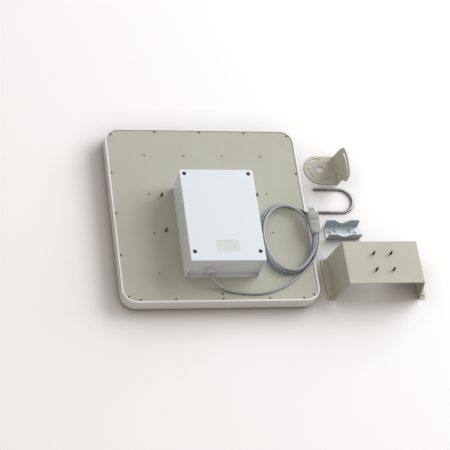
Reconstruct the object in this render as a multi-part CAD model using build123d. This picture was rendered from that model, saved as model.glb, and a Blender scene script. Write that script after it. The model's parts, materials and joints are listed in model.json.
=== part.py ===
from build123d import *
import os
from math import cos, pi, radians, sin, tan

# A flat-panel patch-array outdoor antenna, lying face down on the floor, with its
# sealed modem box, coiled USB cord and the loose pieces of its mast mount beside it.
# Millimetres.  +Z is up, the origin is the centre of the radome's front face, on the
# floor.  +Y runs from the box's gland end to its other end.

# ---------------------------------------------------------------- panel
panel_width = 458.0           # outside of the radome, square
panel_corner = 34.0           # outside corner radius, seen from the back
radome_wall = 4.0
radome_skin = 3.0             # front face
front_edge_radius = 12.0
plate_top = 40.0              # back face of the back plate, over the floor
plate_thickness = 2.0
plate_gap = 0.3               # round the plate, inside the rim
rim_proud = 1.5               # rim over the back plate
rim_edge = 1.0                # outer edge of the rim

rim_screw_inset = 3.9         # from the plate's edge to a side screw
rim_screw_pitch = 108.5       # between the screws along a side
rim_screw_shank = 3.0
rim_screw_head = 4.6
rim_screw_head_height = 1.6
rim_screw_drive = 1.8         # hole in the head
rim_screw_depth = 12.0        # below the plate
rim_screw_clearance = 0.2     # round the shank, in the plate
boss_radius = 4.4

drain_hole = 5.0
drain_hole_from_side = 36.4   # plate's side edges
drain_hole_from_end = 3.2     # plate's lower edge
vent_hole_from_end = 15.7     # in the middle of the same edge

# ---------------------------------------------------------------- patch array
patch_pitch_x = 93.1
patch_pitch_y = 103.6
patch_count = 4               # along each side
patch_size = 47.0
patch_thickness = 1.0
patch_corner = 3.0
patch_depth = 14.0            # from the back plate's inner face to the patch
board_end_gap = 13.0          # between the board and the rim
board_side_gap = 25.0
board_thickness = 1.5
board_depth = 5.0             # from the back plate's inner face to the board
board_corner = 12.0
standoff_radius = 3.5
standoff_pin = 1.5            # radius, through the plate, board and patch
standoff_head = 2.1           # radius
standoff_head_height = 1.0
pin_clearance = 0.1
track_width = 4.0
track_thickness = 0.4
feed_pin_radius = 0.8
feed_pin_offset = 13.0        # from the patch's centre

# ---------------------------------------------------------------- modem box
box_x = 2.5                   # centre
box_y = -48.9
box_width = 172.2
box_length = 236.6
box_height = 78.4             # plate to lid top
box_corner = 6.0              # at the rear
box_front_corner = 1.5
box_wall = 3.0
box_floor = 3.0
hood_depth = 9.0              # front wall set back under the lid, between the side walls
hood_corner = 6.0             # hollow corners beside that wall
lid_height = 10.0
lid_wall = 3.0
lid_edge = 1.2
rivet_pocket_gap = 0.4        # round the rivet heads, under the floor
gasket_width = 1.4
gasket_height = 1.6

lid_screw_from_side = 11.0
lid_screw_from_rear = 11.0
lid_screw_from_front = 23.2   # the lid's edge at the gland's end
lid_screw_head = 8.6
lid_screw_head_height = 3.0
lid_screw_sink = 0.6          # head below the lid's face
lid_screw_recess = 9.6
lid_screw_slot = 1.2          # cross slot, width and length
lid_screw_slot_length = 5.3
lid_screw_shank = 4.0
lid_screw_length = 22.0       # below the head
lid_screw_clearance = 0.25    # round the shank, in the lid
lid_thread_gap = 0.05         # round the shank, in the base
lid_boss_radius = 5.5         # in the base
cap_boss_radius = 6.5         # in the lid

label_width = 52.0            # plain sunk field on the lid
label_length = 29.5
label_x = 1.3                 # centre, from the box's centre
label_y = -80.7
label_corner = 3.0
label_sink = 0.3

box_screw_spacing_x = 120.0
box_screw_spacing_y = 170.0
box_screw_shank = 4.0
box_screw_head = 8.0
box_screw_head_height = 2.5
box_screw_end = 2.0           # below the back plate

# ---------------------------------------------------------------- inside the box
modem_x = -34.0
modem_width = 30.0
modem_length = 92.0
modem_thickness = 12.0
modem_start_y = -46.0         # end that holds the plug
modem_corner = 4.0
modem_edge = 1.5
tray_wall = 2.0
tray_lip = 3.5
tray_gap = 0.3
tray_height = 7.0             # of its feet, over the box's floor
tray_foot = 6.0
tray_foot_spacing_x = 15.0
tray_foot_spacing_y = 61.0
tray_end_gap = 4.0            # modem's ends over the tray's
tray_side_length = 60.0
socket_width = 17.0
socket_length = 34.0
socket_thickness = 9.0
socket_edge = 2.0
usb_width = 12.0
usb_thickness = 4.5
usb_length = 12.0
usb_wall = 0.35

# ---------------------------------------------------------------- gland
gland_x = -29.2
gland_height = 29.4           # axis, over the plate
gland_thread = 12.0
gland_hex = 15.0              # across the flats
gland_flange = 3.5
gland_nut_length = 10.5
gland_nut_dome = 6.0          # length past the body
gland_dome_radius = 8.4
gland_dome_edge = 4.5
gland_inner_length = 12.0     # thread inside the box
gland_locknut = 3.5
gland_seal_wall = 1.5
gland_gap = 0.2

# ---------------------------------------------------------------- cord and plug
cord_diameter = 6.0
coax_diameter = 3.0
grommet_radius = 4.5
grommet_lip = 1.5
arc_share = 0.45              # of the shorter run, in each arc of a tube

coil_left = 111.5             # middle of the turns
coil_right = 230.0
coil_top = 13.0
coil_bottom = -163.5
coil_band = 13.5              # width of the stacked turns
coil_height = 20.0
coil_edge = 2.8
coil_points = 16              # round the outline
coil_pinch = 0.07             # how far one corner is drawn in
coil_pinch_at = -48.0         # degrees from +X
cord_clearance = 0.3          # round screw heads
cord_stud_clearance = 1.5     # round the rear studs, with room for a sleeve

plug_x = 233.0
plug_front_y = -13.0
plug_length = 58.0
plug_width = 25.0
plug_thickness = 14.0
plug_corner = 4.0
plug_chamfer = 6.0
plug_top_edge = 2.5
plug_bottom_edge = 1.5
plug_groove = 1.0
plug_groove_width = 4.0
plug_groove_at = 26.0         # from the front
shell_hold = 8.0              # shell inside the plug's body
shell_window = 2.4
shell_window_spacing = 6.2
shell_window_from_tip = 5.5
tongue_drop = 0.3             # tongue's face under the plug's middle
tongue_recess = 1.0           # from the shell's tip

# ---------------------------------------------------------------- mast mount
stud_diameter = 5.0
stud_length = 12.0
stud_point = 0.6
stud_shoulder = 0.4           # shoulder pressed into the sheet, radius beyond the shank
stud_flange = 1.2             # clinched flange, radius beyond the shank
stud_flange_height = 1.0
stud_hole_clearance = 0.3     # radius
rear_stud_x = 1.5             # middle of their pattern
rear_stud_spacing_x = 226.0
rear_stud_spacing_y = 93.0

bracket_x = 377.2
bracket_y = -154.5
bracket_top_width = 182.0
bracket_foot_width = 211.0    # between the legs' outer faces, at the feet
bracket_width = 240.0         # over the flanges
bracket_length = 108.0
bracket_height = 83.0
bracket_sheet = 2.5
bracket_bend = 3.0            # outside radius
bracket_inner_bend = 1.0
bracket_foot_corner = 5.0
bracket_stud_spacing = 42.0

disc_x = 297.5
disc_y = 143.8
disc_radius = 40.0
disc_rear = 37.5              # flat rear edge, from the centre
disc_sheet = 2.0
disc_bore = 20.0
disc_bend_x = 37.5            # flange's inner face, from the disc's centre
disc_bend = 1.8               # outside radius
disc_slot_angle = 20.0        # first slot's middle
disc_slot_half_span = 20.0

leg_spacing = 64.0            # U-bolt legs, saddle slots and tilt slot
rod_diameter = 6.0
rod_clearance = 0.25          # radius
rod_point = 0.8
ubolt_x = 270.5               # ends of the legs
ubolt_y = 56.0
ubolt_length = 95.0

pivot_y = 115.5               # tilt pivot in the disc bracket's flange
pivot_z = 17.0
tilt_half_span = 27.5
tilt_margin = 9.2             # steel outside the tilt slot
tilt_front_y = 78.0           # flange's front and rear edges
tilt_rear_y = 168.0
tilt_cut_width = 13.0         # corner cut off between the rear edge and the arc
tilt_cut_height = 86.0
tilt_foot_height = 28.0       # of its narrow foot
tilt_foot_flare = 5.0
tilt_corner = 10.0
locating_hole = 5.5
locating_hole_y = 136.0
locating_hole_z = 9.0

saddle_x = 321.4
saddle_y = -30.7
saddle_width = 82.0
saddle_length = 35.3          # over the flanges, at the web
saddle_height = 29.0
saddle_splay = 5.0            # degrees, of each flange
saddle_sheet = 2.0
saddle_bend = 2.4             # outside radius
saddle_corner = 4.0
notch_width = 40.0
notch_depth = 11.0
notch_flat = 9.0
tooth_count = 5               # on each slope of a notch
tooth_depth = 1.1
saddle_slot_length = 10.5
saddle_window_spacing = 36.0
saddle_window_width = 6.5
saddle_window_length = 9.5
saddle_window_shift = 4.5     # towards the rear flange

# ---------------------------------------------------------------- worked out
plate_bottom = plate_top - plate_thickness
plate_width = panel_width - 2 * radome_wall - 2 * plate_gap
plate_corner = panel_corner - radome_wall - plate_gap
opening = panel_width - 2 * radome_wall
opening_corner = panel_corner - radome_wall
board_width = opening - 2 * board_side_gap
board_length = opening - 2 * board_end_gap
board_top = plate_bottom - board_depth
patch_top = plate_bottom - patch_depth
box_top = plate_top + box_height
base_top = box_top - lid_height
box_front_y = box_y - box_length / 2
wall_front_y = box_front_y + hood_depth
room_y = box_y + hood_depth / 2
room_length = box_length - hood_depth
floor_top = plate_top + box_floor
gland_z = plate_top + gland_height
modem_bottom = floor_top + tray_height + tray_wall
modem_z = modem_bottom + modem_thickness / 2
coil_z = plate_top + coil_height
plug_z = coil_z + plug_thickness / 2
corner_screw = opening / 2 - opening_corner + (opening_corner - rim_screw_inset) * cos(radians(45))

os.makedirs("parts", exist_ok=True)


def save(name, shape):
    shape.label = name
    export_step(shape, f"parts/{name}.step")


def rounded_block(x, y, low, high, width, length, corner):
    outline = Pos(x, y, low) * RectangleRounded(width, length, corner)
    return extrude(outline, high - low)


def rod(x, y, low, high, radius):
    return Pos(x, y, low) * Cylinder(radius, high - low, align=(Align.CENTER, Align.CENTER, Align.MIN))


def block(x0, x1, y0, y1, z0, z1):
    return Pos(x0, y0, z0) * Box(x1 - x0, y1 - y0, z1 - z0, align=(Align.MIN, Align.MIN, Align.MIN))


def rod_along_y(x, z, y0, y1, radius):
    turned = Pos(x, y1, z) * Rot(90, 0, 0)
    return turned * Cylinder(radius, y1 - y0, align=(Align.CENTER, Align.CENTER, Align.MIN))


def rectangle_points(x, y, spacing_x, spacing_y):
    return [(x + i * spacing_x / 2, y + j * spacing_y / 2) for j in (1, -1) for i in (-1, 1)]


def union(pieces):
    whole = pieces[0]
    for piece in pieces[1:]:
        whole = whole + piece
    return whole


# ---------------------------------------------------------------- places that repeat
def rim_screw_places():
    side = opening / 2 - rim_screw_inset
    places = [(i * corner_screw, j * corner_screw) for i in (-1, 1) for j in (-1, 1)]
    for k in (-1, 0, 1):
        along = k * rim_screw_pitch
        places += [(along, side), (along, -side), (side, along), (-side, along)]
    return places


def patch_places():
    middle = (patch_count - 1) / 2
    steps = [k - middle for k in range(patch_count)]
    return [(i * patch_pitch_x, -j * patch_pitch_y) for j in steps for i in steps]


rim_screws_at = rim_screw_places()
patches_at = patch_places()
rear_studs_at = rectangle_points(rear_stud_x, 0, rear_stud_spacing_x, rear_stud_spacing_y)
lid_screws_at = rectangle_points(
    box_x, box_y + (lid_screw_from_front - lid_screw_from_rear) / 2,
    box_width - 2 * lid_screw_from_side, box_length - lid_screw_from_front - lid_screw_from_rear,
)
box_screws_at = rectangle_points(box_x, box_y, box_screw_spacing_x, box_screw_spacing_y)


# ---------------------------------------------------------------- radome
def make_radome():
    rim_top = plate_top + rim_proud
    shell = rounded_block(0, 0, 0, rim_top, panel_width, panel_width, panel_corner)
    shell = fillet(shell.faces().sort_by(Axis.Z)[0].edges(), front_edge_radius)
    inner_edge = front_edge_radius - radome_skin
    hollow = rounded_block(0, 0, radome_skin, rim_top + 1, opening, opening, opening_corner)
    hollow = fillet(hollow.faces().sort_by(Axis.Z)[0].edges(), inner_edge)
    shell = shell - hollow
    shell = fillet(shell.faces().sort_by(Axis.Z)[-1].outer_wire().edges(), rim_edge)
    well_bottom = plate_bottom - rim_screw_depth
    inside = rounded_block(0, 0, radome_skin, plate_bottom, panel_width - radome_wall,
                           panel_width - radome_wall, panel_corner - radome_wall / 2)
    bosses = [rod(x, y, radome_skin, plate_bottom, boss_radius) & inside for x, y in rim_screws_at]
    shell = union([shell] + bosses)
    wells = [rod(x, y, well_bottom, plate_bottom + 1, rim_screw_shank / 2) for x, y in rim_screws_at]
    return shell - wells


save("radome", make_radome())


# ---------------------------------------------------------------- back plate
def make_back_plate():
    plate = rounded_block(0, 0, plate_bottom, plate_top, plate_width, plate_width, plate_corner)
    low, high = plate_bottom - 1, plate_top + 1
    holes = [rod(x, y, low, high, rim_screw_shank / 2 + rim_screw_clearance) for x, y in rim_screws_at]
    holes += [rod(x, y, low, high, standoff_pin + pin_clearance) for x, y in patches_at]
    holes += [rod(x, y, low, high, stud_diameter / 2 + stud_shoulder) for x, y in rear_studs_at]
    holes += [rod(x, y, low, high, box_screw_shank / 2) for x, y in box_screws_at]
    holes.append(rod(0, 0, low, high, grommet_radius))
    drain_x = plate_width / 2 - drain_hole_from_side
    drain_y = drain_hole_from_end - plate_width / 2
    holes += [rod(i * drain_x, drain_y, low, high, drain_hole / 2) for i in (-1, 1)]
    holes.append(rod(0, vent_hole_from_end - plate_width / 2, low, high, drain_hole / 2))
    return plate - holes


save("back_plate", make_back_plate())


def make_rim_screws():
    screws = []
    for x, y in rim_screws_at:
        shank = rod(x, y, plate_bottom - rim_screw_depth, plate_top, rim_screw_shank / 2)
        head = rod(x, y, plate_top, plate_top + rim_screw_head_height, rim_screw_head / 2)
        head = fillet(head.faces().sort_by(Axis.Z)[-1].edges(), rim_screw_head_height / 2)
        drive = rod(x, y, plate_top + rim_screw_head_height / 2, plate_top + rim_screw_head_height + 1,
                    rim_screw_drive / 2)
        screws.append(shank + head - drive)
    return Compound(children=screws)


save("rim_screws", make_rim_screws())


# ---------------------------------------------------------------- patches, board and feed
def make_patch(x, y):
    low = patch_top - patch_thickness
    patch = rounded_block(x, y, low, patch_top, patch_size, patch_size, patch_corner)
    return patch - rod(x, y, 0, plate_top, standoff_pin + pin_clearance)


for number, (x, y) in enumerate(patches_at, 1):
    save(f"patch_{number:02d}", make_patch(x, y))


def make_feed_board():
    low = board_top - board_thickness
    board = rounded_block(0, 0, low, board_top, board_width, board_length, board_corner)
    return board - [rod(x, y, 0, plate_top, standoff_pin + pin_clearance) for x, y in patches_at]


save("feed_board", make_feed_board())


def make_standoffs():
    posts = []
    patch_bottom = patch_top - patch_thickness
    board_bottom = board_top - board_thickness
    for x, y in patches_at:
        pin = rod(x, y, patch_bottom, plate_top, standoff_pin)
        upper = rod(x, y, board_top, plate_bottom, standoff_radius)
        lower = rod(x, y, patch_top, board_bottom, standoff_radius)
        back_head = rod(x, y, plate_top, plate_top + standoff_head_height, standoff_head)
        back_head = fillet(back_head.faces().sort_by(Axis.Z)[-1].edges(), standoff_head_height / 2)
        front_head = rod(x, y, patch_bottom - standoff_head_height, patch_bottom, standoff_head)
        posts.append(union([pin, upper, lower, back_head, front_head]))
    return Compound(children=posts)


save("patch_standoffs", make_standoffs())


def make_feed_network():
    # an H-shaped tree of equal paths from the middle to every patch, on the board's front
    high = board_top - board_thickness
    low = high - track_thickness
    half = track_width / 2
    pair_x, pair_y = patch_pitch_x, patch_pitch_y
    tracks = [block(-pair_x - half, pair_x + half, -half, half, low, high)]
    for i in (-1, 1):
        x = i * pair_x
        tracks.append(block(x - half, x + half, -pair_y - half, pair_y + half, low, high))
        for j in (-1, 1):
            y = j * pair_y
            reach = pair_x / 2 + half
            tracks.append(block(x - reach, x + reach, y - half, y + half, low, high))
            for k in (-1, 1):
                end = pair_y / 2 - feed_pin_offset
                tip = end + half
                branch_x = x + k * pair_x / 2
                tracks.append(block(branch_x - half, branch_x + half, y - tip, y + tip, low, high))
                for m in (-1, 1):
                    tracks.append(rod(branch_x, y + m * end, patch_top, high, feed_pin_radius))
    return union(tracks)


save("feed_network", make_feed_network())


# ---------------------------------------------------------------- studs
def make_studs(places, sheet_bottom, sheet_top):
    studs = []
    for x, y in places:
        tip = sheet_top + stud_length
        shank = rod(x, y, sheet_top, tip, stud_diameter / 2)
        shank = chamfer(shank.faces().sort_by(Axis.Z)[-1].edges(), stud_point)
        shank = shank + rod(x, y, sheet_bottom, sheet_top, stud_diameter / 2 + stud_shoulder)
        flange = rod(x, y, sheet_bottom - stud_flange_height, sheet_bottom, stud_diameter / 2 + stud_flange)
        studs.append(shank + flange)
    return Compound(children=studs)


save("rear_studs", make_studs(rear_studs_at, plate_bottom, plate_top))


# ---------------------------------------------------------------- modem box
def box_block(low, high):
    # the box's outside: round corners at the rear, nearly square ones in front
    half = box_width / 2
    solid = block(box_x - half, box_x + half, box_front_y, box_front_y + box_length, low, high)
    solid = fillet(solid.edges().filter_by(Axis.Z).sort_by(Axis.Y)[2:], box_corner)
    return fillet(solid.edges().filter_by(Axis.Z).sort_by(Axis.Y)[:2], box_front_corner)


def hood(low, high):
    width = box_width - 2 * box_wall
    return rounded_block(box_x, box_front_y, low, high, width, 2 * hood_depth, hood_corner)


def room(low, high, wall):
    # the room behind the front wall, with so much of the walls left outside it
    width, length = box_width - 2 * wall, room_length - 2 * wall
    return rounded_block(box_x, room_y, low, high, width, length, box_corner - wall)


def make_box_base():
    base = box_block(plate_top, base_top) - room(floor_top, base_top + 1, box_wall)
    base = base - hood(floor_top, base_top + 1)
    inside = room(floor_top, base_top, box_wall / 2)
    for x, y in lid_screws_at:
        side = 1 if x > box_x else -1
        wall_x = box_x + side * box_width / 2
        web = block(min(x, wall_x), max(x, wall_x), y - lid_boss_radius / 2, y + lid_boss_radius / 2,
                    floor_top, base_top)
        base = base + ((rod(x, y, floor_top, base_top, lid_boss_radius) + web) & inside)
    well_radius = lid_screw_shank / 2 + lid_thread_gap
    well_end = box_top - lid_screw_sink - lid_screw_head_height - lid_screw_length - lid_thread_gap
    base = base - [rod(x, y, well_end, base_top + 1, well_radius) for x, y in lid_screws_at]
    base = base - [rod(x, y, plate_top - 1, floor_top + 1, box_screw_shank / 2) for x, y in box_screws_at]
    base = base - rod(0, 0, plate_top - 1, floor_top + 1, grommet_radius)
    base = base - make_gasket()
    pocket_top = plate_top + standoff_head_height + rivet_pocket_gap
    pocket_radius = standoff_head + rivet_pocket_gap
    base = base - [rod(x, y, plate_top - 1, pocket_top, pocket_radius) for x, y in patches_at]
    hole_start, hole_end = wall_front_y - 1, wall_front_y + box_wall + 1
    return base - rod_along_y(gland_x, gland_z, hole_start, hole_end, gland_thread / 2)


def make_gasket():
    low = base_top - gasket_height
    margin = (box_wall - gasket_width) / 2
    return room(low, base_top, margin) - room(low, base_top, margin + gasket_width)


def make_box_lid():
    lid = box_block(base_top, box_top)
    lid = fillet(lid.faces().sort_by(Axis.Z)[-1].edges(), lid_edge)
    lid = lid - room(base_top - 1, box_top - lid_wall, box_wall) - hood(base_top - 1, box_top - lid_wall)
    inside = room(base_top, box_top - lid_edge, box_wall / 2)
    bosses = [rod(x, y, base_top, box_top - lid_edge, cap_boss_radius) & inside for x, y in lid_screws_at]
    lid = union([lid] + bosses)
    head_bottom = box_top - lid_screw_sink - lid_screw_head_height
    for x, y in lid_screws_at:
        lid = lid - rod(x, y, head_bottom, box_top + 1, lid_screw_recess / 2)
        lid = lid - rod(x, y, base_top - 1, head_bottom + 1, lid_screw_shank / 2 + lid_screw_clearance)
    label = rounded_block(box_x + label_x, box_y + label_y, box_top - label_sink, box_top + 1,
                          label_width, label_length, label_corner)
    return lid - label


def make_lid_screws():
    screws = []
    head_top = box_top - lid_screw_sink
    head_bottom = head_top - lid_screw_head_height
    for x, y in lid_screws_at:
        shank_radius = lid_screw_shank / 2
        shank = rod(x, y, head_bottom - lid_screw_length, head_bottom, shank_radius)
        head = rod(x, y, head_bottom, head_top, lid_screw_head / 2)
        head = fillet(head.faces().sort_by(Axis.Z)[-1].edges(), lid_screw_sink)
        depth = lid_screw_head_height / 2
        middle = Pos(x, y, head_top - depth / 2)
        slot = middle * Box(lid_screw_slot_length, lid_screw_slot, depth)
        cross = middle * Box(lid_screw_slot, lid_screw_slot_length, depth)
        screws.append(shank + head - slot - cross)
    return Compound(children=screws)


def make_box_screws():
    screws = []
    for x, y in box_screws_at:
        shank = rod(x, y, plate_bottom - box_screw_end, floor_top, box_screw_shank / 2)
        head = rod(x, y, floor_top, floor_top + box_screw_head_height, box_screw_head / 2)
        screws.append(shank + head)
    return Compound(children=screws)


save("box_base", make_box_base())
save("box_gasket", make_gasket())
save("box_lid", make_box_lid())
save("lid_screws", make_lid_screws())
save("box_mounting_screws", make_box_screws())


# ---------------------------------------------------------------- modem, tray and socket
def usb_shell(x, z, y0, length):
    outer = block(x - usb_width / 2, x + usb_width / 2, y0, y0 + length,
                  z - usb_thickness / 2, z + usb_thickness / 2)
    inner = block(x - usb_width / 2 + usb_wall, x + usb_width / 2 - usb_wall, y0 - 1, y0 + length + 1,
                  z - usb_thickness / 2 + usb_wall, z + usb_thickness / 2 - usb_wall)
    return outer - inner


def make_modem():
    y = modem_start_y + modem_length / 2
    body = rounded_block(modem_x, y, modem_bottom, modem_bottom + modem_thickness,
                         modem_width, modem_length, modem_corner)
    return fillet(body.faces().sort_by(Axis.Z)[-1].edges(), modem_edge)


def make_tray():
    y = modem_start_y + modem_length / 2
    side = modem_width / 2 + tray_gap
    low = modem_bottom - tray_wall
    half_x = side + tray_wall
    half_y = modem_length / 2 - tray_end_gap
    deck = block(modem_x - half_x, modem_x + half_x, y - half_y, y + half_y, low, modem_bottom)
    pieces = [deck]
    for i in (-1, 1):
        inner = modem_x + i * side
        outer = inner + i * tray_wall
        pieces.append(block(min(inner, outer), max(inner, outer), y - tray_side_length / 2,
                            y + tray_side_length / 2, low, modem_bottom + tray_lip))
    feet = rectangle_points(modem_x, y, tray_foot_spacing_x, tray_foot_spacing_y)
    return union(pieces + [rod(foot_x, foot_y, floor_top, low, tray_foot / 2) for foot_x, foot_y in feet])


def make_usb_socket():
    body = block(modem_x - socket_width / 2, modem_x + socket_width / 2, modem_start_y - socket_length,
                 modem_start_y, modem_z - socket_thickness / 2, modem_z + socket_thickness / 2)
    body = fillet(body.edges().filter_by(Axis.Y), socket_edge)
    pocket = block(modem_x - usb_width / 2, modem_x + usb_width / 2, modem_start_y - usb_length,
                   modem_start_y + 1, modem_z - usb_thickness / 2, modem_z + usb_thickness / 2)
    return body - pocket


save("modem", make_modem())
save("modem_tray", make_tray())
save("modem_usb_shell", usb_shell(modem_x, modem_z, modem_start_y - usb_length, usb_length))
save("usb_socket", make_usb_socket())


# ---------------------------------------------------------------- gland
cord_radius = cord_diameter / 2
nut_end_y = wall_front_y - gland_flange - gland_nut_length
seat_radius = cord_radius + gland_seal_wall
thread_radius = gland_thread / 2


def hexagon_along_y(x, z, y0, y1, flats):
    turned = Pos(x, y1, z) * Rot(90, 0, 0)
    return turned * extrude(RegularPolygon(flats / 2, 6, major_radius=False), y1 - y0)


def make_gland_body():
    inner_end = wall_front_y + box_wall + gland_inner_length
    seat_end = nut_end_y + gland_nut_dome
    tube = rod_along_y(gland_x, gland_z, seat_end, inner_end, thread_radius)
    hexagon = hexagon_along_y(gland_x, gland_z, wall_front_y - gland_flange, wall_front_y, gland_hex)
    bore = rod_along_y(gland_x, gland_z, seat_end - 1, inner_end + 1, seat_radius)
    return tube + hexagon - bore


def make_gland_seal():
    start = nut_end_y + gland_nut_dome
    sleeve = rod_along_y(gland_x, gland_z, start, wall_front_y + box_wall, seat_radius)
    return sleeve - rod_along_y(gland_x, gland_z, start - 1, wall_front_y + box_wall + 1, cord_radius)


def make_gland_nut():
    flange_y = wall_front_y - gland_flange
    nut = hexagon_along_y(gland_x, gland_z, nut_end_y, flange_y, gland_hex)
    dome = rod_along_y(gland_x, gland_z, nut_end_y, flange_y, gland_dome_radius)
    dome = fillet(dome.faces().sort_by(Axis.Y)[0].edges(), gland_dome_edge)
    nut = nut & dome
    nut = nut - rod_along_y(gland_x, gland_z, nut_end_y + gland_nut_dome - gland_gap, flange_y + 1,
                            thread_radius + gland_gap / 4)
    return nut - rod_along_y(gland_x, gland_z, nut_end_y - 1, flange_y, cord_radius + gland_gap)


def make_gland_locknut():
    start = wall_front_y + box_wall
    nut = hexagon_along_y(gland_x, gland_z, start, start + gland_locknut, gland_hex)
    return nut - rod_along_y(gland_x, gland_z, start - 1, start + gland_locknut + 1, thread_radius)


save("gland_body", make_gland_body())
save("gland_seal", make_gland_seal())
save("gland_nut", make_gland_nut())
save("gland_locknut", make_gland_locknut())


# ---------------------------------------------------------------- tubes
def corner_radii(points):
    radii = []
    for before, here, after in zip(points, points[1:], points[2:]):
        one, two = Vector(*here) - Vector(*before), Vector(*after) - Vector(*here)
        turn = radians(one.get_angle(two))
        radii.append(arc_share * min(one.length, two.length) / tan(turn / 2))
    return radii


def tube(name, points, diameter):
    radii = corner_radii(points)
    path = FilletPolyline(*points, radius=radii)
    start = Plane(origin=path @ 0, z_dir=path % 0)
    solid = sweep(start * Circle(diameter / 2), path=path)
    expected = pi * diameter ** 2 / 4 * path.length
    print(f"{name}: {path.length:.0f} mm long, volume {solid.volume / expected:.4f} of section x length")
    print(f"  radii {[round(r, 1) for r in radii]}")
    return solid


inner_cord_end_y = modem_start_y - socket_length
inner_cord_route = [
    (gland_x, nut_end_y + gland_nut_dome, gland_z),
    (gland_x, wall_front_y + box_wall + 27, gland_z),
    (modem_x, inner_cord_end_y - 22, modem_z),
    (modem_x, inner_cord_end_y, modem_z),
]
save("inner_cord", tube("inner_cord", inner_cord_route, cord_diameter))

coax_height = modem_z
coax_route = [
    (0, 0, board_top),
    (0, 0, coax_height),
    (modem_x + modem_width / 2, 0, coax_height),
]
save("coax_pigtail", tube("coax_pigtail", coax_route, coax_diameter))


def make_grommet():
    top, bottom = floor_top, plate_bottom
    sleeve = rod(0, 0, bottom, top, grommet_radius)
    lips = rod(0, 0, top, top + grommet_lip, grommet_radius + grommet_lip)
    lips = lips + rod(0, 0, bottom - grommet_lip, bottom, grommet_radius + grommet_lip)
    return sleeve + lips - rod(0, 0, bottom - grommet_lip - 1, top + grommet_lip + 1, coax_diameter / 2)


save("coax_grommet", make_grommet())


# ---------------------------------------------------------------- coil of cord
def coil_outline(grow):
    # an egg: rounded ends, nearly straight left side, lower right corner drawn in
    middle_x, middle_y = (coil_left + coil_right) / 2, (coil_top + coil_bottom) / 2
    half_x, half_y = (coil_right - coil_left) / 2 + grow, (coil_top - coil_bottom) / 2 + grow
    points = []
    for step in range(coil_points):
        angle = radians(step * 360 / coil_points)
        pinch = 1 - coil_pinch * max(0.0, cos(angle - radians(coil_pinch_at))) ** 2
        points.append((middle_x + half_x * cos(angle) * pinch, middle_y + half_y * sin(angle) * pinch))
    return make_face(Spline(*points, periodic=True).edges())


def make_cord_coil():
    ring = Pos(0, 0, plate_top) * extrude(coil_outline(coil_band / 2), coil_height)
    ring = ring - Pos(0, 0, plate_top - 1) * extrude(coil_outline(-coil_band / 2), coil_height + 2)
    ring = fillet(ring.faces().sort_by(Axis.Z)[-1].edges(), coil_edge)
    rim = block(plate_width / 2, panel_width / 2 + coil_band, -panel_width / 2, panel_width / 2,
                plate_top - 1, plate_top + rim_proud)
    ring = ring - rim
    gap = cord_clearance
    for places, height, radius in (
        (patches_at, standoff_head_height, standoff_head),
        (rim_screws_at, rim_screw_head_height, rim_screw_head / 2),
        (rear_studs_at, stud_length, stud_diameter / 2 + cord_stud_clearance - gap),
    ):
        ring = ring - [rod(x, y, plate_top - 1, plate_top + height + gap, radius + gap) for x, y in places]
    return ring


coil = make_cord_coil()
save("cord_coil", coil)

lead_z = plate_top + cord_radius
lead_rim_z = plate_top + rim_proud + cord_clearance + cord_radius
lead_route = [
    (gland_x, nut_end_y + gland_nut_dome, gland_z),
    (gland_x, nut_end_y - 10, gland_z),
    (-20, -191, 59),
    (-5, -196.5, 48),
    (17, -205, lead_z),
    (42, -209, lead_z),
    (70, -211.5, lead_z),
    (98, -210, lead_z),
    (127, -202, lead_z),
    (155, -188, lead_z),
    (181, -169, lead_z),
    (206, -148, lead_z + 0.8),
    (228, -122, lead_rim_z),
    (242, -91, lead_rim_z),
    (248, -58, lead_rim_z),
    (243, -25, lead_rim_z),
    (224, 3, lead_rim_z),
]
lead = tube("cord_lead", lead_route, cord_diameter)
save("cord_lead", lead - coil)


# ---------------------------------------------------------------- plug
def make_plug():
    back = plug_front_y - plug_length
    half = plug_width / 2
    low, high = coil_z, coil_z + plug_thickness
    body = block(plug_x - half, plug_x + half, back, plug_front_y, low, high)
    sides = body.edges().filter_by(Axis.Z)
    body = chamfer(sides.sort_by(Axis.Y)[:2], plug_chamfer)
    body = fillet(body.edges().filter_by(Axis.Z).sort_by(Axis.Y)[-2:], plug_corner)
    body = fillet(body.faces().sort_by(Axis.Z)[-1].edges(), plug_top_edge)
    body = fillet(body.faces().sort_by(Axis.Z)[0].edges(), plug_bottom_edge)
    groove_y = plug_front_y - plug_groove_at
    cutter = block(plug_x - half - 1, plug_x + half + 1, groove_y - plug_groove_width / 2,
                   groove_y + plug_groove_width / 2, high - plug_groove, high + 1)
    body = body - cutter
    return body - block(plug_x - usb_width / 2, plug_x + usb_width / 2, plug_front_y - shell_hold,
                        plug_front_y + 1, plug_z - usb_thickness / 2, plug_z + usb_thickness / 2)


def make_plug_shell():
    shell = usb_shell(plug_x, plug_z, plug_front_y - shell_hold, shell_hold + usb_length)
    window_y = plug_front_y + usb_length - shell_window_from_tip
    window = Pos(0, window_y, plug_z + usb_thickness / 2) * Box(shell_window, shell_window, usb_wall * 4)
    return shell - [Pos(plug_x + i * shell_window_spacing / 2, 0, 0) * window for i in (-1, 1)]


def make_plug_tongue():
    inner = usb_width / 2 - usb_wall
    return block(plug_x - inner, plug_x + inner, plug_front_y - shell_hold,
                 plug_front_y + usb_length - tongue_recess, plug_z - usb_thickness / 2 + usb_wall,
                 plug_z - tongue_drop)


plug = make_plug()
save("plug_body", plug)
save("plug_shell", make_plug_shell())
save("plug_tongue", make_plug_tongue())

plug_tail_y = plug_front_y - plug_length
tail_route = [
    (215, -126, coil_z - 1),
    (226, -108, coil_z + 2.5),
    (232.5, -90, plug_z - 0.8),
    (plug_x, plug_tail_y, plug_z),
]
save("cord_tail", tube("cord_tail", tail_route, cord_diameter) - coil - plug)


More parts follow.
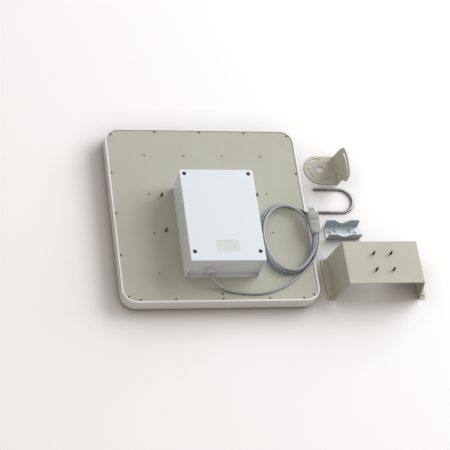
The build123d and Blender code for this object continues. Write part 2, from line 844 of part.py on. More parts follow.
# ---------------------------------------------------------------- mast bracket
def mitred(points, distance):
    # the same open outline, moved to its left by the distance, with mitred corners
    moved = []
    for index, here in enumerate(points):
        before = points[max(index - 1, 0)]
        after = points[min(index + 1, len(points) - 1)]
        arrive = (Vector(*here) - Vector(*before)) if index else (Vector(*after) - Vector(*here))
        leave = (Vector(*after) - Vector(*here)) if index < len(points) - 1 else arrive
        left_one = Vector(-arrive.Y, arrive.X).normalized()
        left_two = Vector(-leave.Y, leave.X).normalized()
        middle = (left_one + left_two).normalized()
        moved.append(Vector(*here) + middle * (distance / middle.dot(left_one)))
    return [(point.X, point.Y) for point in moved]


def make_mast_bracket():
    top, foot, half = bracket_top_width / 2, bracket_foot_width / 2, bracket_width / 2
    outer = [(half, bracket_sheet), (foot, bracket_sheet), (top, bracket_height), (-top, bracket_height),
             (-foot, bracket_sheet), (-half, bracket_sheet)]
    inner = mitred(outer, bracket_sheet)
    profile = Polygon(*outer, *reversed(inner), align=None)
    bent = extrude(Plane.XZ * profile, bracket_length / 2, both=True)
    outside_corners = outer[2:4] + inner[1:2] + inner[4:5]
    inside_corners = inner[2:4] + outer[1:2] + outer[4:5]
    for radius, corners in ((bracket_bend, outside_corners), (bracket_inner_bend, inside_corners)):
        edges = [edge for edge in bent.edges().filter_by(Axis.Y)
                 if any(abs(edge.center().X - x) + abs(edge.center().Z - z) < 0.01 for x, z in corners)]
        bent = fillet(edges, radius)
    feet_ends = [edge for edge in bent.edges().filter_by(Axis.Z) if abs(edge.center().X) > half - 1]
    return Pos(bracket_x, bracket_y) * fillet(feet_ends, bracket_foot_corner)


feet_at = rectangle_points(bracket_x, bracket_y, rear_stud_spacing_x, rear_stud_spacing_y)
top_studs_at = rectangle_points(bracket_x, bracket_y, bracket_stud_spacing, bracket_stud_spacing)


def cut_mast_bracket():
    bracket = make_mast_bracket()
    hole = stud_diameter / 2 + stud_hole_clearance
    bracket = bracket - [rod(x, y, -1, bracket_sheet + 1, hole) for x, y in feet_at]
    low, high = bracket_height - bracket_sheet - 1, bracket_height + 1
    return bracket - [rod(x, y, low, high, stud_diameter / 2 + stud_shoulder) for x, y in top_studs_at]


save("mast_bracket", cut_mast_bracket())
save("mast_bracket_studs", make_studs(top_studs_at, bracket_height - bracket_sheet, bracket_height))


# ---------------------------------------------------------------- disc bracket
def arc_slot(radius, width, middle, half_span):
    return SlotArc(CenterArc((0, 0), radius, middle - half_span, 2 * half_span), width)


def make_disc_plate():
    face = Circle(disc_radius) + Pos(disc_bend_x / 2, 0) * Rectangle(disc_bend_x, 2 * disc_radius)
    face = face & Pos(0, disc_rear - 2 * disc_radius) * Rectangle(4 * disc_radius, 4 * disc_radius)
    face = face - Circle(disc_bore / 2)
    slot_radius = bracket_stud_spacing / 2 ** 0.5
    slot_width = stud_diameter + 2 * stud_hole_clearance
    for k in range(4):
        face = face - arc_slot(slot_radius, slot_width, disc_slot_angle + 90 * k, disc_slot_half_span)
    return extrude(Pos(disc_x, disc_y) * face, disc_sheet)


def make_tilt_flange():
    # outline in Y and Z, a sector about the tilt pivot on a narrower foot
    reach = leg_spacing + rod_diameter / 2 + rod_clearance + tilt_margin
    foot_front, foot_rear = disc_y - disc_radius, disc_y + disc_rear
    sector = Pos(pivot_y, pivot_z) * Circle(reach)
    window = Polygon(
        (foot_front, 0), (foot_front - tilt_foot_flare, tilt_foot_height),
        (tilt_front_y, 2 * tilt_foot_height), (tilt_front_y, 2 * reach),
        (tilt_rear_y - tilt_cut_width, 2 * reach), (tilt_rear_y - tilt_cut_width, tilt_cut_height),
        (tilt_rear_y, 2 * tilt_foot_height), (foot_rear, 0), align=None,
    )
    flange = extrude(sector & window, disc_sheet)
    corners = flange.edges().filter_by(Axis.Z).filter_by_position(Axis.Y, tilt_foot_height + 1, 2 * reach)
    flange = fillet(corners, tilt_corner)
    slot_width = rod_diameter + 2 * rod_clearance
    openings = Pos(pivot_y, pivot_z) * Circle(rod_diameter / 2 + rod_clearance)
    openings = openings + Pos(pivot_y, pivot_z) * arc_slot(leg_spacing, slot_width, 90, tilt_half_span)
    openings = openings + Pos(locating_hole_y, locating_hole_z) * Circle(locating_hole / 2)
    flange = flange - extrude(openings, disc_sheet)
    upright = Plane(origin=(disc_x + disc_bend_x, 0, 0), x_dir=(0, 1, 0), z_dir=(1, 0, 0))
    return upright * flange


def make_disc_bracket():
    whole = make_disc_plate() + make_tilt_flange()
    corner = whole.edges().filter_by(Axis.Y).filter_by_position(Axis.Z, -0.01, 0.01).sort_by(Axis.X)[-1]
    return fillet(corner, disc_bend)


save("disc_bracket", make_disc_bracket())


# ---------------------------------------------------------------- U-bolt
def make_u_bolt():
    half = leg_spacing / 2
    radius = rod_diameter / 2
    bend_x = ubolt_x + ubolt_length - radius - half
    path = Line((ubolt_x, ubolt_y + half), (bend_x, ubolt_y + half))
    path = path + CenterArc((bend_x, ubolt_y), half, 90, -180)
    path = path + Line((bend_x, ubolt_y - half), (ubolt_x, ubolt_y - half))
    path = Pos(0, 0, radius) * path
    start = Plane(origin=path @ 0, z_dir=path % 0)
    bolt = sweep(start * Circle(radius), path=path)
    return chamfer(bolt.faces().filter_by(Axis.X).edges(), rod_point)


save("u_bolt", make_u_bolt())


# ---------------------------------------------------------------- saddle clamp
def notch_slope():
    # one toothed slope of a notch, from its flat bottom out to the flange's edge
    run, rise = (notch_width - notch_flat) / 2, notch_depth
    normal = Vector(-rise, run).normalized() * -tooth_depth
    points = []
    for k in range(tooth_count + 1):
        x = notch_flat / 2 + run * k / tooth_count
        z = saddle_height - notch_depth + rise * k / tooth_count
        points.append((x, z))
        if k < tooth_count:
            points.append((x + run / tooth_count / 2 + normal.X, z + rise / tooth_count / 2 + normal.Y))
    return points


def make_saddle():
    half_x, half_y = saddle_width / 2, saddle_length / 2
    lean = saddle_height * tan(radians(saddle_splay))
    outside = [(-half_y - lean, saddle_height), (-half_y, 0), (half_y, 0), (half_y + lean, saddle_height)]
    profile = Polygon(*outside, *reversed(mitred(outside, saddle_sheet)), align=None)
    channel = extrude(Plane.YZ * profile, half_x, both=True)
    lower_edges = channel.edges().filter_by(Axis.X).filter_by_position(Axis.Z, -0.01, 0.01)
    channel = fillet(lower_edges, saddle_bend)
    slope = notch_slope()
    over = saddle_height + 1
    notch = Polygon((-notch_width / 2, over), *[(-x, z) for x, z in reversed(slope)], *slope,
                    (notch_width / 2, over), align=None)
    cutters = [notch]
    for i in (-1, 1):
        cutters.append(Polygon((i * (half_x - saddle_corner - 1), over), (i * (half_x + 1), over),
                               (i * (half_x + 1), over - saddle_corner - 2), align=None))
    for cutter in cutters:
        channel = channel - extrude(Plane.XZ * cutter, saddle_length, both=True)
    slot_width = rod_diameter + 2 * rod_clearance
    for i in (-1, 1):
        slot = SlotOverall(saddle_slot_length, slot_width)
        channel = channel - Pos(i * leg_spacing / 2, 0, -1) * extrude(slot, saddle_sheet + 2)
        window = Rectangle(saddle_window_width, saddle_window_length)
        place = Pos(i * saddle_window_spacing / 2, saddle_window_shift, -1)
        channel = channel - place * extrude(window, saddle_sheet + 2)
    return Pos(saddle_x, saddle_y, 0) * channel


save("saddle_clamp", make_saddle())
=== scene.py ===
import json
import math

import bmesh
import bpy
from mathutils import Matrix, Vector


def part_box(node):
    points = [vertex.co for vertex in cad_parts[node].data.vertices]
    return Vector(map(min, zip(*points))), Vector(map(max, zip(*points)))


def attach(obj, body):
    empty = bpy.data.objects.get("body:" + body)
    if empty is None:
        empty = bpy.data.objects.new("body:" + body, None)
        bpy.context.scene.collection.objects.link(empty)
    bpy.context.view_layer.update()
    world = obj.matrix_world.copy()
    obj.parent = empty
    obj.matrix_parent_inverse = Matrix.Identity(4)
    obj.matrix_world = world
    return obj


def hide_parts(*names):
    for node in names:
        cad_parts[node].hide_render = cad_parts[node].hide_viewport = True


# A flat-panel antenna lying face down, its modem box, coiled cord and loose mount pieces.
# Metres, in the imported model's frame; mm() takes millimetres.

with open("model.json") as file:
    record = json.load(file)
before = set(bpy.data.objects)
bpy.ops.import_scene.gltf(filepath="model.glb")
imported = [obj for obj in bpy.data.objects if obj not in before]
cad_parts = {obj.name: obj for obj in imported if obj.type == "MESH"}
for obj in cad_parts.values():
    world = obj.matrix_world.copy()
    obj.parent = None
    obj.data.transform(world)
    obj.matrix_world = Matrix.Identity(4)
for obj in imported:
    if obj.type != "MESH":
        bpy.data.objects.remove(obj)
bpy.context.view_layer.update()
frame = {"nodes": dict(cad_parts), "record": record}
nodes = frame["nodes"]
record = frame["record"]
mounts = {mount["name"]: mount for mount in record["mounts"]}


def mm(*values):
    return Vector(values) * 0.001


# ---------------------------------------------------------------- materials
CORNER_SHADE = (168, 152, 142)        # painted shade in the corners and recesses of pale plastic
FOOT_SHADE = (184, 178, 172)  # painted shade low on the radome's wall, near the floor
GAP_SHADE = (58, 60, 60)          # painted shade between the cord's turns
CLOSE_SAMPLES = 8             # rays per look at what lies close


def linear(red, green, blue):
    """A colour given as seen on a screen, 0 to 255, as the shader's own numbers."""
    def one(value):
        value = value / 255
        return value / 12.92 if value <= 0.04045 else ((value + 0.055) / 1.055) ** 2.4
    return (one(red), one(green), one(blue), 1.0)


class Finish:
    """One procedural material, built up step by step."""

    def __init__(self, name, colour, roughness, metallic=0.0):
        self.material = bpy.data.materials.new(name)
        self.material.use_nodes = True
        self.tree = self.material.node_tree
        self.shader = self.tree.nodes["Principled BSDF"]
        self.shader.inputs["Base Color"].default_value = linear(*colour)
        self.shader.inputs["Roughness"].default_value = roughness
        self.shader.inputs["Metallic"].default_value = metallic
        self.colour = linear(*colour)
        self.colour_out = None
        self.height_out = None
        self.place = self.tree.nodes.new("ShaderNodeTexCoord").outputs["Object"]

    def node(self, kind, **settings):
        made = self.tree.nodes.new(kind)
        for key, value in settings.items():
            setattr(made, key, value)
        return made

    def link(self, source, target):
        self.tree.links.new(source, target)

    def noise(self, size, detail=2, stretch=(1, 1, 1)):
        """Noise whose blobs are about size metres across."""
        mapping = self.node("ShaderNodeMapping")
        mapping.inputs["Scale"].default_value = Vector(stretch) / size
        self.link(self.place, mapping.inputs["Vector"])
        noise = self.node("ShaderNodeTexNoise")
        noise.inputs["Scale"].default_value = 1.0
        noise.inputs["Detail"].default_value = detail
        self.link(mapping.outputs["Vector"], noise.inputs["Vector"])
        return noise.outputs["Fac"]

    def ramp(self, value, low, high):
        spread = self.node("ShaderNodeMapRange")
        spread.inputs["From Min"].default_value = low
        spread.inputs["From Max"].default_value = high
        self.link(value, spread.inputs["Value"])
        return spread.outputs["Result"]

    def tint(self, value, colour, strength):
        """Mixes another colour in where value is high."""
        mix = self.node("ShaderNodeMix", data_type="RGBA")
        scale = self.node("ShaderNodeMath", operation="MULTIPLY")
        scale.inputs[1].default_value = strength
        self.link(value, scale.inputs[0])
        self.link(scale.outputs[0], mix.inputs["Factor"])
        if self.colour_out is None:
            mix.inputs["A"].default_value = self.colour
        else:
            self.link(self.colour_out, mix.inputs["A"])
        mix.inputs["B"].default_value = linear(*colour)
        self.colour_out = mix.outputs["Result"]
        self.link(self.colour_out, self.shader.inputs["Base Color"])

    def raised(self, value, depth):
        """Adds value times depth metres to the surface's height."""
        scale = self.node("ShaderNodeMath", operation="MULTIPLY")
        scale.inputs[1].default_value = depth
        self.link(value, scale.inputs[0])
        if self.height_out is None:
            self.height_out = scale.outputs[0]
        else:
            both = self.node("ShaderNodeMath", operation="ADD")
            self.link(self.height_out, both.inputs[0])
            self.link(scale.outputs[0], both.inputs[1])
            self.height_out = both.outputs[0]

    def gloss(self, value, low, high):
        """Roughness from low to high as value goes from 0 to 1."""
        spread = self.node("ShaderNodeMapRange")
        spread.inputs["To Min"].default_value = low
        spread.inputs["To Max"].default_value = high
        self.link(value, spread.inputs["Value"])
        self.link(spread.outputs["Result"], self.shader.inputs["Roughness"])

    def closeness(self, reach, free, hidden):
        """From 0, where the share of open view within reach metres is free, to 1, where it is hidden."""
        view = self.node("ShaderNodeAmbientOcclusion")
        view.samples = CLOSE_SAMPLES
        view.inputs["Distance"].default_value = reach
        return self.ramp(view.outputs["AO"], free, hidden)

    def done(self):
        """The material, with all heights gathered in one bump."""
        if self.height_out is not None:
            bump = self.node("ShaderNodeBump")
            bump.inputs["Distance"].default_value = 1.0
            bump.inputs["Strength"].default_value = 1.0
            self.link(self.height_out, bump.inputs["Height"])
            self.link(bump.outputs["Normal"], self.shader.inputs["Normal"])
        return self.material


def painted(name, colour, shade):
    """Fine powder coat: a close orange peel, slight clouding and a few specks."""
    look = Finish(name, colour, 0.62)
    cloud = look.noise(0.06, detail=3)
    grain = look.noise(0.0011, detail=2)
    look.tint(look.ramp(cloud, 0.35, 0.7), shade, 0.35)
    look.tint(look.ramp(grain, 0.5, 0.72), shade, 0.25)
    look.raised(grain, 0.00006)
    look.gloss(cloud, 0.55, 0.72)
    return look.done()


def moulded(name, colour, shade, roughness, corners=0.0, reach=0.03, corner_shade=CORNER_SHADE):
    """Satin moulded plastic: fine grain, barely uneven gloss, and painted shade in its inner corners."""
    look = Finish(name, colour, roughness)
    cloud = look.noise(0.09, detail=2)
    look.tint(look.ramp(cloud, 0.4, 0.75), shade, 0.3)
    if corners:
        # painted shade: darker where little open view lies within reach
        look.tint(look.closeness(reach, 0.75, 0.3), corner_shade, corners)
    look.raised(look.noise(0.0007), 0.00001)
    look.gloss(cloud, roughness - 0.06, roughness + 0.08)
    return look.done()


def metal(name, colour, shade, roughness, stretch=(1, 1, 1), metallic=1.0):
    """Metal with drawn or rolled streaks."""
    look = Finish(name, colour, roughness, metallic=metallic)
    streaks = look.noise(0.004, detail=3, stretch=stretch)
    look.tint(look.ramp(streaks, 0.35, 0.7), shade, 0.6)
    look.raised(streaks, 0.00001)
    look.gloss(streaks, roughness - 0.08, roughness + 0.12)
    return look.done()


def zinc():
    """Zinc plate: pale blue-grey spangle with soft patches."""
    look = Finish("zinc_steel", (190, 198, 200), 0.42, metallic=0.65)
    cells = look.node("ShaderNodeTexVoronoi")
    cells.inputs["Scale"].default_value = 180
    look.link(look.place, cells.inputs["Vector"])
    look.tint(look.ramp(cells.outputs["Distance"], 0.1, 0.9), (150, 160, 166), 0.3)
    look.tint(look.ramp(look.noise(0.012), 0.45, 0.7), (206, 212, 214), 0.3)
    look.gloss(cells.outputs["Distance"], 0.45, 0.65)
    return look.done()


def rubbery(name, colour, shade, roughness, gaps=0.0):
    """Soft jacket or seal, with painted shade where something lies close to it."""
    look = Finish(name, colour, roughness)
    look.tint(look.ramp(look.noise(0.05, detail=3), 0.4, 0.7), shade, 0.35)
    if gaps:
        # painted shade where something lies close
        look.tint(look.closeness(0.03, 0.9, 0.4), GAP_SHADE, gaps)
    look.raised(look.noise(0.0009), 0.00001)
    look.shader.inputs["Sheen Weight"].default_value = 0.15
    return look.done()


materials = {
    # the radome's wall is darker near the floor and in its corners: painted shade
    "radome_white": moulded("radome_white", (237, 239, 240), (227, 229, 229), 0.38, corners=0.9, reach=0.06,
                            corner_shade=FOOT_SHADE),
    "plate_paint": painted("plate_paint", (184, 185, 170), (176, 175, 159)),
    "bracket_paint": painted("bracket_paint", (190, 189, 173), (182, 178, 161)),
    "screw_dark": metal("screw_dark", (122, 118, 108), (98, 95, 88), 0.6, metallic=0.2),
    "stud_steel": metal("stud_steel", (92, 92, 88), (52, 52, 50), 0.36, stretch=(1, 1, 3)),
    "board_laminate": moulded("board_laminate", (98, 120, 92), (84, 108, 80), 0.5),
    "copper": metal("copper", (206, 150, 118), (176, 120, 92), 0.35),
    "patch_aluminium": metal("patch_aluminium", (204, 205, 206), (180, 182, 184), 0.34, stretch=(0.1, 1, 1)),
    # painted shade in the box's recess and inner corners
    "box_plastic": moulded("box_plastic", (227, 235, 240), (222, 231, 237), 0.40, corners=0.7),
    "gasket_rubber": rubbery("gasket_rubber", (44, 44, 44), (30, 30, 30), 0.75),
    "lid_screw_black": moulded("lid_screw_black", (34, 34, 34), (24, 24, 24), 0.42),
    "modem_black": moulded("modem_black", (38, 38, 41), (28, 28, 30), 0.35),
    "tray_plastic": moulded("tray_plastic", (206, 206, 201), (196, 196, 190), 0.5),
    "usb_metal": metal("usb_metal", (150, 151, 147), (128, 128, 125), 0.4, stretch=(1, 0.15, 1),
                       metallic=0.7),
    "plug_grey": moulded("plug_grey", (166, 168, 160), (156, 158, 150), 0.55),
    "gland_grey": moulded("gland_grey", (212, 216, 216), (200, 204, 204), 0.42),
    # painted shade between the cord's turns and on its lower strands
    "cord_grey": rubbery("cord_grey", (160, 167, 169), (146, 153, 156), 0.38, gaps=0.9),
    "coax_black": rubbery("coax_black", (36, 36, 36), (26, 26, 26), 0.4),
    # the tongue is coloured dark as painted shade, so the shell's windows look dark
    "tongue_white": moulded("tongue_white", (60, 60, 58), (48, 48, 46), 0.6),
    "u_bolt_steel": metal("u_bolt_steel", (156, 155, 154), (108, 107, 106), 0.42, stretch=(0.2, 1, 1),
                          metallic=0.8),
    "zinc_steel": zinc(),
    "label_grey": moulded("label_grey", (216, 222, 222), (212, 218, 219), 0.5),
}


def dress(piece, slot):
    piece.data.materials.clear()
    piece.data.materials.append(materials[slot])


slot_of = {part["node"]: part["material_slot"] for part in record["subparts"]}
for name, node in nodes.items():
    dress(node, slot_of[name])


# ---------------------------------------------------------------- mesh helpers
def piece_from(name, mesh_maker, slot, body, smooth=True):
    """A new piece whose mesh is in the row frame, in metres."""
    mesh = bpy.data.meshes.new(name)
    shape = bmesh.new()
    mesh_maker(shape)
    bmesh.ops.recalc_face_normals(shape, faces=shape.faces)
    shape.to_mesh(mesh)
    shape.free()
    for face in mesh.polygons:
        face.use_smooth = smooth
    piece = bpy.data.objects.new(name, mesh)
    bpy.context.scene.collection.objects.link(piece)
    dress(piece, slot)
    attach(piece, body)
    return piece


def skin(shape, rings):
    """Joins rings of as many points each, one after another, and closes both ends."""
    made = [[shape.verts.new(point) for point in ring] for ring in rings]
    for one, two in zip(made, made[1:]):
        count = len(one)
        for k in range(count):
            shape.faces.new((one[k], one[(k + 1) % count], two[(k + 1) % count], two[k]))
    shape.faces.new(list(reversed(made[0])))
    shape.faces.new(made[-1])


# ---------------------------------------------------------------- threads
THREAD_SIDES = 28
RINGS_PER_TURN = 8
M5_PITCH, M5_CUT = 0.0008, 0.00045
M6_PITCH, M6_CUT = 0.001, 0.00055
POINT_CUT = 0.0004            # the chamfered end's step inside the thread


def thread_depth(along, angle, pitch, depth):
    """How deep a V thread is cut at this place along and round the rod."""
    phase = (along / pitch - angle / (2 * math.pi)) % 1.0
    return depth * (1 - abs(2 * phase - 1)) if depth else 0.0


def threaded_ring(centre, side, up, radius, along, pitch, depth):
    """One ring of points round a rod, dented by the thread."""
    ring = []
    for k in range(THREAD_SIDES):
        angle = 2 * math.pi * k / THREAD_SIDES
        r = radius - thread_depth(along, angle, pitch, depth)
        ring.append(centre + side * (r * math.cos(angle)) + up * (r * math.sin(angle)))
    return ring


def stud_maker(places, sheet_low, sheet_high, tip, radius):
    """Clinched studs: a flange under the sheet, a plain neck, then a thread with a chamfered point."""
    flange = radius + 0.0012
    low = sheet_low - 0.001
    neck_end, start = sheet_high + 0.0004, sheet_high + 0.0007
    point = 0.0006
    core = radius - M5_CUT
    steps = int((tip - point - start) / M5_PITCH * RINGS_PER_TURN)

    def make(shape):
        for x, y in places:
            def ring(z, r, cut=0.0):
                across, along = Vector((1, 0, 0)), Vector((0, 1, 0))
                return threaded_ring(Vector((x, y, z)), across, along, r, z, M5_PITCH, cut)
            rings = [ring(low, flange * 0.9), ring(low + 0.0002, flange), ring(sheet_low, flange),
                     ring(sheet_low, radius), ring(neck_end, radius * 0.93)]
            for step in range(steps + 1):
                grow = min(1.0, step / RINGS_PER_TURN)
                rings.append(ring(start + step * M5_PITCH / RINGS_PER_TURN, radius, M5_CUT * grow))
            rings += [ring(tip - point * 0.4, core), ring(tip, core - POINT_CUT)]
            skin(shape, rings)
    return make


def pattern(mount_name):
    """The places of a rectangular pattern of studs or holes, from its mount."""
    mount = mounts[mount_name]
    x, y = mount["pos_m"][:2]
    half_x = mount["dims"]["spacing_x_mm"] / 2000
    half_y = mount["dims"]["spacing_y_mm"] / 2000
    return [(x + i * half_x, y + j * half_y) for i in (-1, 1) for j in (-1, 1)]


def stud_piece(name, node, mount_name, sheet_node, sheet, body):
    """Threaded studs in place of a node's plain ones, clinched in a sheet of the given thickness."""
    radius = mounts[mount_name]["dims"]["stud_r_mm"] / 1000
    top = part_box(sheet_node)[1].z
    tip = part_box(node)[1].z
    maker = stud_maker(pattern(mount_name), top - sheet, top, tip, radius)
    piece = piece_from(name, maker, "stud_steel", body)
    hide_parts(node)


stud_piece("rear_stud_threads", "rear_studs", "rear_studs", "back_plate", 0.002, "antenna")
stud_piece("bracket_stud_threads", "mast_bracket_studs", "bracket_studs", "mast_bracket", 0.0025,
           "mast_bracket")


# ---------------------------------------------------------------- U-bolt
THREADED_LENGTH = 0.032
THREAD_RUN_OUT = 0.004
BEND_STEPS = 40


def make_u_bolt(shape):
    low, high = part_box("u_bolt")
    radius = (high.z - low.z) / 2
    middle_y = (low.y + high.y) / 2
    half = (high.y - low.y) / 2 - radius
    bend_x = high.x - radius - half
    point = 0.0008
    up = Vector((0, 0, 1))

    def leg(sign):
        """Rings along one leg, from its end to the bend."""
        end = Vector((low.x, middle_y + sign * half, radius))

        def ring(along, r, cut):
            centre = end + Vector((along, 0, 0))
            return threaded_ring(centre, Vector((0, sign, 0)), up, r, along, M6_PITCH, cut)
        rings = [ring(0, radius - M6_CUT - POINT_CUT, 0)]
        steps = int(THREADED_LENGTH / M6_PITCH * RINGS_PER_TURN)
        for step in range(steps + 1):
            fade = min(1.0, (steps - step) / RINGS_PER_TURN)
            rings.append(ring(point + step * M6_PITCH / RINGS_PER_TURN, radius, M6_CUT * fade))
        straight = bend_x - low.x
        for along in (THREADED_LENGTH + THREAD_RUN_OUT, (THREADED_LENGTH + straight) / 2, straight):
            rings.append(ring(along, radius, 0))
        return rings

    rings = leg(1)
    for step in range(1, BEND_STEPS):
        angle = math.pi / 2 - math.pi * step / BEND_STEPS
        outward = Vector((math.cos(angle), math.sin(angle), 0))
        centre = Vector((bend_x, middle_y, radius)) + outward * half
        rings.append(threaded_ring(centre, outward, up, radius, 0, M6_PITCH, 0))
    skin(shape, rings + list(reversed(leg(-1))))


u_bolt = piece_from("u_bolt_rod", make_u_bolt, "u_bolt_steel", "u_bolt")
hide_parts("u_bolt")


# ---------------------------------------------------------------- cord
CORD_DIAMETER = 0.006
# The cord's way from the gland to the coil, and from the coil to the plug, in millimetres.
LEAD_ROUTE = [
    (-29.2, -166.2, 69.4), (-29.2, -182.2, 69.4), (-20, -191, 59), (-5, -196.5, 48), (17, -205, 43),
    (42, -209, 43), (70, -211.5, 43), (98, -210, 43), (127, -202, 43), (155, -188, 43),
    (181, -169, 43), (206, -148, 43.8), (228, -122, 44.8), (242, -91, 44.8), (248, -58, 44.8),
    (243, -25, 44.8), (224, 3, 44.8),
]
TAIL_ROUTE = [(215, -126, 59), (226, -108, 62.5), (232.5, -90, 66.2), (233, -71, 67)]

# The coil's turns, in millimetres: at so many turns from its start, the loop's middle, its half sizes,
# and the share by which its lower right corner is drawn in.
COIL_SHAPES = [
    (0.4, 170.5, -74, 66, 97, 0.14),
    (1.4, 170.3, -75.5, 64.5, 92, 0.12),
    (2.4, 171.5, -77, 60.5, 86.5, 0.07),
]
COIL_START = math.radians(65)
COIL_STEPS = 42
POINTS_PER_TURN = 16
COIL_PINCH_AT = math.radians(-48)
COIL_LOW = 43.0
COIL_RISE = 7.2               # from turn to turn
CLIMB_FROM, CLIMB_TO = 0.62, 0.95   # part of each turn in which it climbs over the last


def coil_shape(turns):
    """The loop's middle, half sizes and pinch, between two of the rows above."""
    for one, two in zip(COIL_SHAPES, COIL_SHAPES[1:]):
        if turns <= two[0] or two is COIL_SHAPES[-1]:
            share = min(1.0, max(0.0, (turns - one[0]) / (two[0] - one[0])))
            return [a + (b - a) * share for a, b in zip(one[1:], two[1:])]


def coil_route():
    points = []
    for step in range(COIL_STEPS + 1):
        turns = step / POINTS_PER_TURN
        angle = COIL_START + 2 * math.pi * turns
        x, y, half_x, half_y, pinch = coil_shape(turns)
        drawn = 1 - pinch * max(0.0, math.cos(angle - COIL_PINCH_AT)) ** 2
        share = min(1.0, max(0.0, (turns % 1 - CLIMB_FROM) / (CLIMB_TO - CLIMB_FROM)))
        level = math.floor(turns) + share * share * (3 - 2 * share)
        points.append((x + half_x * drawn * math.cos(angle), y + half_y * drawn * math.sin(angle),
                       COIL_LOW + COIL_RISE * level))
    return points


def make_cord():
    curve = bpy.data.curves.new("usb_cord", "CURVE")
    curve.dimensions = "3D"
    spline = curve.splines.new("NURBS")
    route = LEAD_ROUTE + coil_route() + TAIL_ROUTE
    spline.points.add(len(route) - 1)
    for point, place in zip(spline.points, route):
        point.co = (*mm(*place), 1.0)
    spline.order_u = 3
    spline.use_endpoint_u = True
    curve.resolution_u = 10
    curve.bevel_depth = CORD_DIAMETER / 2
    curve.bevel_resolution = 6
    curve.use_fill_caps = True
    piece = bpy.data.objects.new("usb_cord", curve)
    bpy.context.scene.collection.objects.link(piece)
    dress(piece, "cord_grey")
    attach(piece, "antenna")
    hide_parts("cord_lead", "cord_coil", "cord_tail")
    return piece


# ---------------------------------------------------------------- plug
# Sections of the plug's body, in millimetres: how far back from its front, half width, how far its top
# lies under the highest place.
PLUG_SECTIONS = [
    (0, 9.4, 1.2), (0.4, 10.3, 0.6), (1.4, 11.4, 0.2), (3.2, 12.2, 0), (5, 12.5, 0),
    (23.4, 12.5, 0), (24, 11.9, 0.9), (28, 11.9, 0.9), (28.6, 12.5, 0), (30.7, 12.5, 0),
    (31.3, 12.2, 0.35), (51.6, 12.0, 0.2), (52.6, 11.4, 0.3), (57.2, 6.6, 0.6), (58, 5.6, 1.4),
]
TOP_EDGE, LOW_EDGE = 2.5, 1.5     # radii along the body's edges
EDGE_STEPS = 5


def rounded_section(y, middle, half_x, low, high):
    """A rounded rectangle across the plug."""
    ring = []
    corners = ((1, high, TOP_EDGE), (-1, high, TOP_EDGE), (-1, low, LOW_EDGE), (1, low, LOW_EDGE))
    for quarter, (side, z, radius) in enumerate(corners):
        down = -1 if quarter < 2 else 1
        for step in range(EDGE_STEPS + 1):
            angle = math.pi / 2 * (quarter + step / EDGE_STEPS)
            ring.append(mm(middle + side * (half_x - radius) + radius * math.cos(angle), y,
                           z + down * radius + radius * math.sin(angle)))
    return ring


def make_plug_body(shape):
    low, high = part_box("plug_body")
    low, high = low * 1000, high * 1000
    middle = (low.x + high.x) / 2
    skin(shape, [rounded_section(high.y - back, middle, half, low.z + drop * 0.4, high.z - drop)
                 for back, half, drop in PLUG_SECTIONS])


plug_grip = piece_from("plug_grip", make_plug_body, "plug_grey", "antenna")
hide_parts("plug_body")

cord = make_cord()


# ---------------------------------------------------------------- label
LABEL_LOW, LABEL_HIGH = mm(-22.2, -144.35, 118.1), mm(29.8, -114.85, 118.25)
LABEL_INSET = 0.0004          # from the walls of its field
LABEL_CORNER, LABEL_CORNER_STEPS = 0.0026, 6


def make_label(shape):
    """A blank sticker in the cover's sunk field."""
    low, high = LABEL_LOW, LABEL_HIGH
    half_x, half_y = (high.x - low.x) / 2 - LABEL_INSET, (high.y - low.y) / 2 - LABEL_INSET
    x, y = (high.x + low.x) / 2, (high.y + low.y) / 2
    ring = []
    for quarter, (i, j) in enumerate(((1, 1), (-1, 1), (-1, -1), (1, -1))):
        for step in range(LABEL_CORNER_STEPS + 1):
            angle = math.pi / 2 * (quarter + step / LABEL_CORNER_STEPS)
            ring.append((x + i * (half_x - LABEL_CORNER) + LABEL_CORNER * math.cos(angle),
                         y + j * (half_y - LABEL_CORNER) + LABEL_CORNER * math.sin(angle)))
    skin(shape, [[Vector((a, b, z)) for a, b in ring] for z in (low.z, high.z)])


label = piece_from("blank_label", make_label, "box_plastic", "box_cover", smooth=False)
label.data.materials[0] = materials["label_grey"]


# ---------------------------------------------------------------- floor and light
FLOOR_SIZE = 14
SHADE_REACH = 0.09            # how far the objects shade the floor near them
SHADE_POWER = 1.05
SHADE_COLOUR = (0.23, 0.195, 0.17, 1)
BOUNCE_COLOUR = (0.51, 0.48, 0.45, 1)

AMBIENT_COLOUR, AMBIENT_STRENGTH = (1.0, 0.92, 0.85, 1), 0.55
BRIGHT_SIDE = (0.5, 0.6, 0.62)            # of the room that shiny parts mirror
BRIGHT_FROM, BRIGHT_TO, DARK_LEVEL = -0.3, 0.5, 0.25

KEY_DIRECTION, KEY_DISTANCE = (0.765, 0.406, 0.50), 5.0
KEY_SIZE, KEY_POWER, KEY_COLOUR = 5.0, 275, (0.95, 1.0, 1.06)

FOCAL_LENGTH, SENSOR_WIDTH = 133.17, 36.0
CAMERA_PLACE = mm(-947.1, -1883.3, 3224.6)
CAMERA_AXES = Matrix((
    (0.96667, 0.00163, -0.25604),
    (-0.13018, 0.86421, -0.48599),
    (0.22048, 0.50312, 0.83562),
))


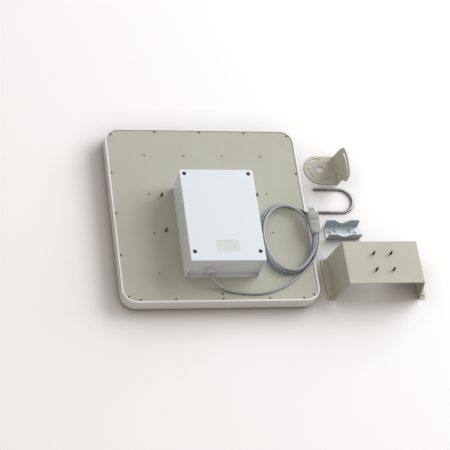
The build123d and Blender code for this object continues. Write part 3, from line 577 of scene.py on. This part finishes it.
def make_floor():
    """White to the camera but for a soft shade near the objects; darker to the light it throws back."""
    bpy.ops.mesh.primitive_plane_add(size=FLOOR_SIZE, location=(0.1, 0, 0))
    floor = bpy.context.object
    floor.name = "floor"
    look = Finish("floor", (255, 255, 255), 0.9)
    look.shader.inputs["Specular IOR Level"].default_value = 0.0
    near = look.node("ShaderNodeAmbientOcclusion")
    near.samples = 16
    near.inputs["Distance"].default_value = SHADE_REACH
    shade = look.node("ShaderNodeMath", operation="POWER")
    look.link(near.outputs["AO"], shade.inputs[0])
    shade.inputs[1].default_value = SHADE_POWER
    white = look.node("ShaderNodeMix", data_type="RGBA")
    look.link(shade.outputs[0], white.inputs["Factor"])
    white.inputs["A"].default_value = SHADE_COLOUR
    white.inputs["B"].default_value = (1, 1, 1, 1)
    path = look.node("ShaderNodeLightPath")
    mix = look.node("ShaderNodeMix", data_type="RGBA")
    look.link(path.outputs["Is Camera Ray"], mix.inputs["Factor"])
    mix.inputs["A"].default_value = BOUNCE_COLOUR
    look.link(white.outputs["Result"], mix.inputs["B"])
    look.link(mix.outputs["Result"], look.shader.inputs["Base Color"])
    floor.data.materials.append(look.done())


def make_world():
    """Plain light; white to the camera, and to reflections a room that is darker on the camera's side."""
    world = bpy.data.worlds.new("studio")
    bpy.context.scene.world = world
    world.use_nodes = True
    tree = world.node_tree

    def background(colour, strength):
        made = tree.nodes.new("ShaderNodeBackground")
        made.inputs["Color"].default_value = colour
        made.inputs["Strength"].default_value = strength
        return made

    def mixed(switch, one, two):
        mix = tree.nodes.new("ShaderNodeMixShader")
        tree.links.new(switch, mix.inputs[0])
        tree.links.new(one, mix.inputs[1])
        tree.links.new(two, mix.inputs[2])
        return mix.outputs[0]

    lit = background(AMBIENT_COLOUR, AMBIENT_STRENGTH)
    mirrored = background((1, 1, 1, 1), 1.0)
    direction = tree.nodes.new("ShaderNodeTexCoord").outputs["Generated"]
    along = tree.nodes.new("ShaderNodeVectorMath")
    along.operation = "DOT_PRODUCT"
    tree.links.new(direction, along.inputs[0])
    along.inputs[1].default_value = BRIGHT_SIDE
    level = tree.nodes.new("ShaderNodeMapRange")
    level.inputs["From Min"].default_value = BRIGHT_FROM
    level.inputs["From Max"].default_value = BRIGHT_TO
    level.inputs["To Min"].default_value = DARK_LEVEL
    tree.links.new(along.outputs["Value"], level.inputs["Value"])
    tree.links.new(level.outputs["Result"], mirrored.inputs["Strength"])
    path = tree.nodes.new("ShaderNodeLightPath")
    unseen = mixed(path.outputs["Is Glossy Ray"], lit.outputs[0], mirrored.outputs[0])
    final = mixed(path.outputs["Is Camera Ray"], unseen, background((1, 1, 1, 1), 1.0).outputs[0])
    tree.links.new(final, tree.nodes["World Output"].inputs["Surface"])


def make_key_lamp():
    lamp = bpy.data.lights.new("key", "AREA")
    lamp.shape = "DISK"
    lamp.size = KEY_SIZE
    lamp.energy = KEY_POWER
    lamp.color = KEY_COLOUR
    place = bpy.data.objects.new("key", lamp)
    bpy.context.scene.collection.objects.link(place)
    toward = Vector(KEY_DIRECTION).normalized()
    place.location = mm(120, -20, 30) + toward * KEY_DISTANCE
    place.rotation_mode = "QUATERNION"
    place.rotation_quaternion = toward.to_track_quat("Z", "Y")


def make_camera():
    """At the viewing angle measured on the panel's edges, screws and box."""
    camera = bpy.data.cameras.new("camera")
    camera.sensor_width = SENSOR_WIDTH
    camera.lens = FOCAL_LENGTH
    camera.clip_start, camera.clip_end = 0.1, 50
    place = bpy.data.objects.new("camera", camera)
    bpy.context.scene.collection.objects.link(place)
    place.matrix_world = Matrix.Translation(CAMERA_PLACE) @ CAMERA_AXES.to_4x4()
    bpy.context.scene.camera = place


make_floor()
make_world()
make_key_lamp()
make_camera()
bpy.context.scene.view_settings.view_transform = "Standard"
